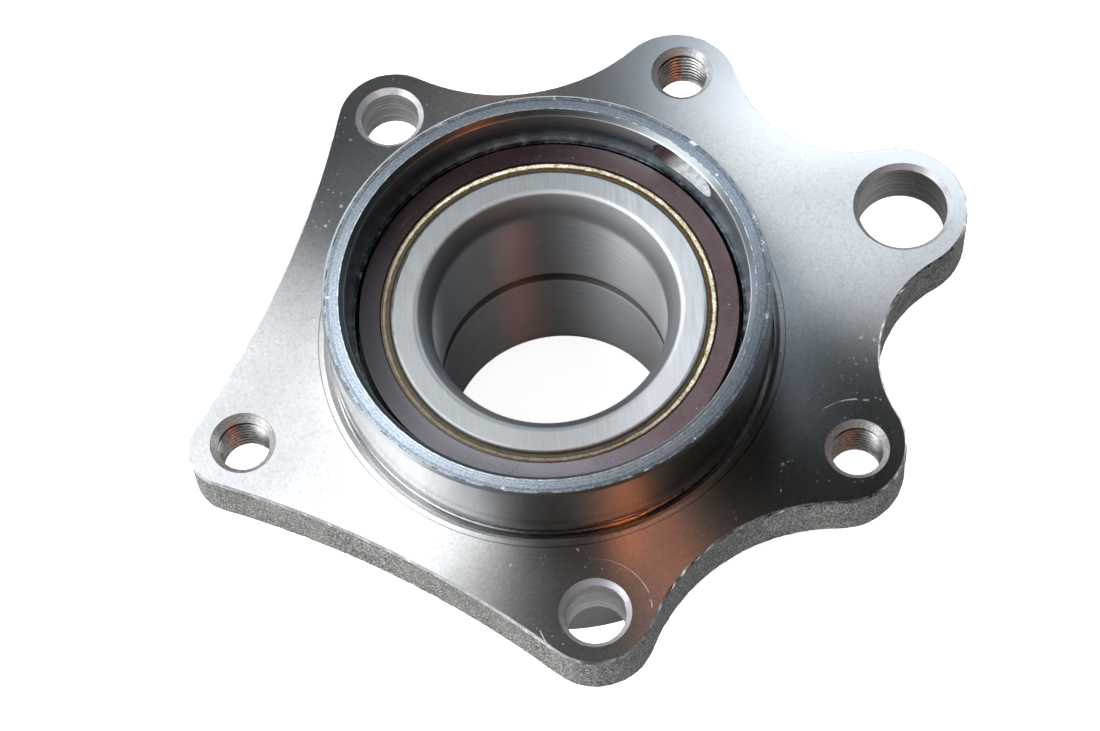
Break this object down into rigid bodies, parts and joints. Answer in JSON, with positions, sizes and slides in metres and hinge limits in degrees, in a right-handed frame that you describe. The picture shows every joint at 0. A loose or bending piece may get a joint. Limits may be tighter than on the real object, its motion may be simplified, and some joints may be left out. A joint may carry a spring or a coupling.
{
  "type": "wheel hub bearing",
  "caption": "Flanged wheel hub bearing: angular contact ball bearing whose outer ring carries a lobed mounting flange and a centring collar, with a wheel-speed encoder ring.",
  "frame": {"origin": "on the bore axis, level with the flange's machined mounting face", "axes": "+Z along the bore axis towards the centring collar, +X along the flange's symmetry plane towards the ear with the large plain hole"},
  "size_m": [0.1738, 0.1472, 0.074],
  "materials": {
    "forged_steel": "forged sides, turned faces",
    "ground_steel": "ground",
    "polished_steel": "polished",
    "cage_polymer": "moulded",
    "passivated_steel": "passivated",
    "encoder_rubber": "matt",
    "pressed_steel": "pressed sheet",
    "seal_rubber": "matt"
  },
  "bodies": {
    "housing": {"flanged_outer_ring": "forged_steel", "seal_case_inboard": "pressed_steel", "seal_case_outboard": "pressed_steel", "seal_lip_inboard": "seal_rubber", "seal_lip_outboard": "seal_rubber"},
    "inner_rings": {"inner_ring_inboard": "ground_steel", "inner_ring_outboard": "ground_steel", "slinger_inboard": "passivated_steel", "slinger_outboard": "passivated_steel", "encoder_ring": "encoder_rubber"},
    "cage_inboard_body": {"cage_inboard": "cage_polymer"},
    "cage_outboard_body": {"cage_outboard": "cage_polymer"},
    "ball_inboard_01_body": {"ball_inboard_01": "polished_steel"},
    "ball_inboard_02_body": {"ball_inboard_02": "polished_steel"},
    "ball_inboard_03_body": {"ball_inboard_03": "polished_steel"},
    "ball_inboard_04_body": {"ball_inboard_04": "polished_steel"},
    "ball_inboard_05_body": {"ball_inboard_05": "polished_steel"},
    "ball_inboard_06_body": {"ball_inboard_06": "polished_steel"},
    "ball_inboard_07_body": {"ball_inboard_07": "polished_steel"},
    "ball_inboard_08_body": {"ball_inboard_08": "polished_steel"},
    "ball_inboard_09_body": {"ball_inboard_09": "polished_steel"},
    "ball_inboard_10_body": {"ball_inboard_10": "polished_steel"},
    "ball_inboard_11_body": {"ball_inboard_11": "polished_steel"},
    "ball_inboard_12_body": {"ball_inboard_12": "polished_steel"},
    "ball_inboard_13_body": {"ball_inboard_13": "polished_steel"},
    "ball_inboard_14_body": {"ball_inboard_14": "polished_steel"},
    "ball_inboard_15_body": {"ball_inboard_15": "polished_steel"},
    "ball_outboard_01_body": {"ball_outboard_01": "polished_steel"},
    "ball_outboard_02_body": {"ball_outboard_02": "polished_steel"},
    "ball_outboard_03_body": {"ball_outboard_03": "polished_steel"},
    "ball_outboard_04_body": {"ball_outboard_04": "polished_steel"},
    "ball_outboard_05_body": {"ball_outboard_05": "polished_steel"},
    "ball_outboard_06_body": {"ball_outboard_06": "polished_steel"},
    "ball_outboard_07_body": {"ball_outboard_07": "polished_steel"},
    "ball_outboard_08_body": {"ball_outboard_08": "polished_steel"},
    "ball_outboard_09_body": {"ball_outboard_09": "polished_steel"},
    "ball_outboard_10_body": {"ball_outboard_10": "polished_steel"},
    "ball_outboard_11_body": {"ball_outboard_11": "polished_steel"},
    "ball_outboard_12_body": {"ball_outboard_12": "polished_steel"},
    "ball_outboard_13_body": {"ball_outboard_13": "polished_steel"},
    "ball_outboard_14_body": {"ball_outboard_14": "polished_steel"},
    "ball_outboard_15_body": {"ball_outboard_15": "polished_steel"}
  },
  "joints": [
    {"name": "bearing_spin", "type": "hinge", "parent": "housing", "child": "inner_rings", "pos_m": [0, 0, 0], "axis": [0, 0, 1], "continuous": true},
    {"name": "cage_inboard_orbit", "type": "hinge", "parent": "housing", "child": "cage_inboard_body", "pos_m": [0, 0, -0.0079], "axis": [0, 0, 1], "continuous": true},
    {"name": "cage_outboard_orbit", "type": "hinge", "parent": "housing", "child": "cage_outboard_body", "pos_m": [0, 0, -0.0347], "axis": [0, 0, 1], "continuous": true},
    {"name": "ball_inboard_01_roll", "type": "hinge", "parent": "cage_inboard_body", "child": "ball_inboard_01_body", "pos_m": [0.0352, 0, -0.0079], "axis": [0.5878, 0, 0.809], "continuous": true},
    {"name": "ball_inboard_02_roll", "type": "hinge", "parent": "cage_inboard_body", "child": "ball_inboard_02_body", "pos_m": [0.03216, 0.01432, -0.0079], "axis": [0.537, 0.2391, 0.809], "continuous": true},
    {"name": "ball_inboard_03_roll", "type": "hinge", "parent": "cage_inboard_body", "child": "ball_inboard_03_body", "pos_m": [0.02355, 0.02616, -0.0079], "axis": [0.3933, 0.4368, 0.809], "continuous": true},
    {"name": "ball_inboard_04_roll", "type": "hinge", "parent": "cage_inboard_body", "child": "ball_inboard_04_body", "pos_m": [0.01088, 0.03348, -0.0079], "axis": [0.1816, 0.559, 0.809], "continuous": true},
    {"name": "ball_inboard_05_roll", "type": "hinge", "parent": "cage_inboard_body", "child": "ball_inboard_05_body", "pos_m": [-0.00368, 0.03501, -0.0079], "axis": [-0.0614, 0.5846, 0.809], "continuous": true},
    {"name": "ball_inboard_06_roll", "type": "hinge", "parent": "cage_inboard_body", "child": "ball_inboard_06_body", "pos_m": [-0.0176, 0.03048, -0.0079], "axis": [-0.2939, 0.509, 0.809], "continuous": true},
    {"name": "ball_inboard_07_roll", "type": "hinge", "parent": "cage_inboard_body", "child": "ball_inboard_07_body", "pos_m": [-0.02848, 0.02069, -0.0079], "axis": [-0.4755, 0.3455, 0.809], "continuous": true},
    {"name": "ball_inboard_08_roll", "type": "hinge", "parent": "cage_inboard_body", "child": "ball_inboard_08_body", "pos_m": [-0.03443, 0.00732, -0.0079], "axis": [-0.5749, 0.1222, 0.809], "continuous": true},
    {"name": "ball_inboard_09_roll", "type": "hinge", "parent": "cage_inboard_body", "child": "ball_inboard_09_body", "pos_m": [-0.03443, -0.00732, -0.0079], "axis": [-0.5749, -0.1222, 0.809], "continuous": true},
    {"name": "ball_inboard_10_roll", "type": "hinge", "parent": "cage_inboard_body", "child": "ball_inboard_10_body", "pos_m": [-0.02848, -0.02069, -0.0079], "axis": [-0.4755, -0.3455, 0.809], "continuous": true},
    {"name": "ball_inboard_11_roll", "type": "hinge", "parent": "cage_inboard_body", "child": "ball_inboard_11_body", "pos_m": [-0.0176, -0.03048, -0.0079], "axis": [-0.2939, -0.509, 0.809], "continuous": true},
    {"name": "ball_inboard_12_roll", "type": "hinge", "parent": "cage_inboard_body", "child": "ball_inboard_12_body", "pos_m": [-0.00368, -0.03501, -0.0079], "axis": [-0.0614, -0.5846, 0.809], "continuous": true},
    {"name": "ball_inboard_13_roll", "type": "hinge", "parent": "cage_inboard_body", "child": "ball_inboard_13_body", "pos_m": [0.01088, -0.03348, -0.0079], "axis": [0.1816, -0.559, 0.809], "continuous": true},
    {"name": "ball_inboard_14_roll", "type": "hinge", "parent": "cage_inboard_body", "child": "ball_inboard_14_body", "pos_m": [0.02355, -0.02616, -0.0079], "axis": [0.3933, -0.4368, 0.809], "continuous": true},
    {"name": "ball_inboard_15_roll", "type": "hinge", "parent": "cage_inboard_body", "child": "ball_inboard_15_body", "pos_m": [0.03216, -0.01432, -0.0079], "axis": [0.537, -0.2391, 0.809], "continuous": true},
    {"name": "ball_outboard_01_roll", "type": "hinge", "parent": "cage_outboard_body", "child": "ball_outboard_01_body", "pos_m": [0.0352, 0, -0.0347], "axis": [-0.5878, 0, 0.809], "continuous": true},
    {"name": "ball_outboard_02_roll", "type": "hinge", "parent": "cage_outboard_body", "child": "ball_outboard_02_body", "pos_m": [0.03216, -0.01432, -0.0347], "axis": [-0.537, 0.2391, 0.809], "continuous": true},
    {"name": "ball_outboard_03_roll", "type": "hinge", "parent": "cage_outboard_body", "child": "ball_outboard_03_body", "pos_m": [0.02355, -0.02616, -0.0347], "axis": [-0.3933, 0.4368, 0.809], "continuous": true},
    {"name": "ball_outboard_04_roll", "type": "hinge", "parent": "cage_outboard_body", "child": "ball_outboard_04_body", "pos_m": [0.01088, -0.03348, -0.0347], "axis": [-0.1816, 0.559, 0.809], "continuous": true},
    {"name": "ball_outboard_05_roll", "type": "hinge", "parent": "cage_outboard_body", "child": "ball_outboard_05_body", "pos_m": [-0.00368, -0.03501, -0.0347], "axis": [0.0614, 0.5846, 0.809], "continuous": true},
    {"name": "ball_outboard_06_roll", "type": "hinge", "parent": "cage_outboard_body", "child": "ball_outboard_06_body", "pos_m": [-0.0176, -0.03048, -0.0347], "axis": [0.2939, 0.509, 0.809], "continuous": true},
    {"name": "ball_outboard_07_roll", "type": "hinge", "parent": "cage_outboard_body", "child": "ball_outboard_07_body", "pos_m": [-0.02848, -0.02069, -0.0347], "axis": [0.4755, 0.3455, 0.809], "continuous": true},
    {"name": "ball_outboard_08_roll", "type": "hinge", "parent": "cage_outboard_body", "child": "ball_outboard_08_body", "pos_m": [-0.03443, -0.00732, -0.0347], "axis": [0.5749, 0.1222, 0.809], "continuous": true},
    {"name": "ball_outboard_09_roll", "type": "hinge", "parent": "cage_outboard_body", "child": "ball_outboard_09_body", "pos_m": [-0.03443, 0.00732, -0.0347], "axis": [0.5749, -0.1222, 0.809], "continuous": true},
    {"name": "ball_outboard_10_roll", "type": "hinge", "parent": "cage_outboard_body", "child": "ball_outboard_10_body", "pos_m": [-0.02848, 0.02069, -0.0347], "axis": [0.4755, -0.3455, 0.809], "continuous": true},
    {"name": "ball_outboard_11_roll", "type": "hinge", "parent": "cage_outboard_body", "child": "ball_outboard_11_body", "pos_m": [-0.0176, 0.03048, -0.0347], "axis": [0.2939, -0.509, 0.809], "continuous": true},
    {"name": "ball_outboard_12_roll", "type": "hinge", "parent": "cage_outboard_body", "child": "ball_outboard_12_body", "pos_m": [-0.00368, 0.03501, -0.0347], "axis": [0.0614, -0.5846, 0.809], "continuous": true},
    {"name": "ball_outboard_13_roll", "type": "hinge", "parent": "cage_outboard_body", "child": "ball_outboard_13_body", "pos_m": [0.01088, 0.03348, -0.0347], "axis": [-0.1816, -0.559, 0.809], "continuous": true},
    {"name": "ball_outboard_14_roll", "type": "hinge", "parent": "cage_outboard_body", "child": "ball_outboard_14_body", "pos_m": [0.02355, 0.02616, -0.0347], "axis": [-0.3933, -0.4368, 0.809], "continuous": true},
    {"name": "ball_outboard_15_roll", "type": "hinge", "parent": "cage_outboard_body", "child": "ball_outboard_15_body", "pos_m": [0.03216, 0.01432, -0.0347], "axis": [-0.537, -0.2391, 0.809], "continuous": true}
  ],
  "couplings": [
    {"joint": "cage_inboard_orbit", "follows": "bearing_spin", "ratio": 0.42703},
    {"joint": "cage_outboard_orbit", "follows": "bearing_spin", "ratio": 0.42703},
    {"joint": "ball_inboard_01_roll", "follows": "bearing_spin", "ratio": -2.7126},
    {"joint": "ball_inboard_02_roll", "follows": "bearing_spin", "ratio": -2.7126},
    {"joint": "ball_inboard_03_roll", "follows": "bearing_spin", "ratio": -2.7126},
    {"joint": "ball_inboard_04_roll", "follows": "bearing_spin", "ratio": -2.7126},
    {"joint": "ball_inboard_05_roll", "follows": "bearing_spin", "ratio": -2.7126},
    {"joint": "ball_inboard_06_roll", "follows": "bearing_spin", "ratio": -2.7126},
    {"joint": "ball_inboard_07_roll", "follows": "bearing_spin", "ratio": -2.7126},
    {"joint": "ball_inboard_08_roll", "follows": "bearing_spin", "ratio": -2.7126},
    {"joint": "ball_inboard_09_roll", "follows": "bearing_spin", "ratio": -2.7126},
    {"joint": "ball_inboard_10_roll", "follows": "bearing_spin", "ratio": -2.7126},
    {"joint": "ball_inboard_11_roll", "follows": "bearing_spin", "ratio": -2.7126},
    {"joint": "ball_inboard_12_roll", "follows": "bearing_spin", "ratio": -2.7126},
    {"joint": "ball_inboard_13_roll", "follows": "bearing_spin", "ratio": -2.7126},
    {"joint": "ball_inboard_14_roll", "follows": "bearing_spin", "ratio": -2.7126},
    {"joint": "ball_inboard_15_roll", "follows": "bearing_spin", "ratio": -2.7126},
    {"joint": "ball_outboard_01_roll", "follows": "bearing_spin", "ratio": -2.7126},
    {"joint": "ball_outboard_02_roll", "follows": "bearing_spin", "ratio": -2.7126},
    {"joint": "ball_outboard_03_roll", "follows": "bearing_spin", "ratio": -2.7126},
    {"joint": "ball_outboard_04_roll", "follows": "bearing_spin", "ratio": -2.7126},
    {"joint": "ball_outboard_05_roll", "follows": "bearing_spin", "ratio": -2.7126},
    {"joint": "ball_outboard_06_roll", "follows": "bearing_spin", "ratio": -2.7126},
    {"joint": "ball_outboard_07_roll", "follows": "bearing_spin", "ratio": -2.7126},
    {"joint": "ball_outboard_08_roll", "follows": "bearing_spin", "ratio": -2.7126},
    {"joint": "ball_outboard_09_roll", "follows": "bearing_spin", "ratio": -2.7126},
    {"joint": "ball_outboard_10_roll", "follows": "bearing_spin", "ratio": -2.7126},
    {"joint": "ball_outboard_11_roll", "follows": "bearing_spin", "ratio": -2.7126},
    {"joint": "ball_outboard_12_roll", "follows": "bearing_spin", "ratio": -2.7126},
    {"joint": "ball_outboard_13_roll", "follows": "bearing_spin", "ratio": -2.7126},
    {"joint": "ball_outboard_14_roll", "follows": "bearing_spin", "ratio": -2.7126},
    {"joint": "ball_outboard_15_roll", "follows": "bearing_spin", "ratio": -2.7126}
  ]
}
